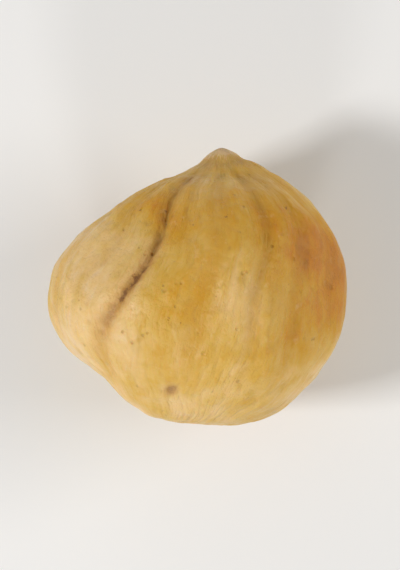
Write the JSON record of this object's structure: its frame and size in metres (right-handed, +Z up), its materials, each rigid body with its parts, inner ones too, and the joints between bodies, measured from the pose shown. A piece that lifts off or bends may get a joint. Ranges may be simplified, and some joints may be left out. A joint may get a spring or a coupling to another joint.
{
  "type": "hazelnut kernel",
  "caption": "Whole blanched and lightly toasted hazelnut kernel: round, ribbed body with a small pointed tip and a broad base, lying on its side. Food, garnish or scatter prop.",
  "frame": {"origin": "middle of the kernel's box on the plane it rests on", "axes": "+Y towards the pointed tip, +Z up as the kernel lies on its flat spot, +X across its widest side"},
  "size_m": [0.0144, 0.0136, 0.0126],
  "materials": {
    "toasted_kernel": "dry, waxy seed flesh without its skin, golden cream with toasted orange-brown patches, satin"
  },
  "bodies": {
    "root": {"kernel": "toasted_kernel"}
  },
  "joints": []
}
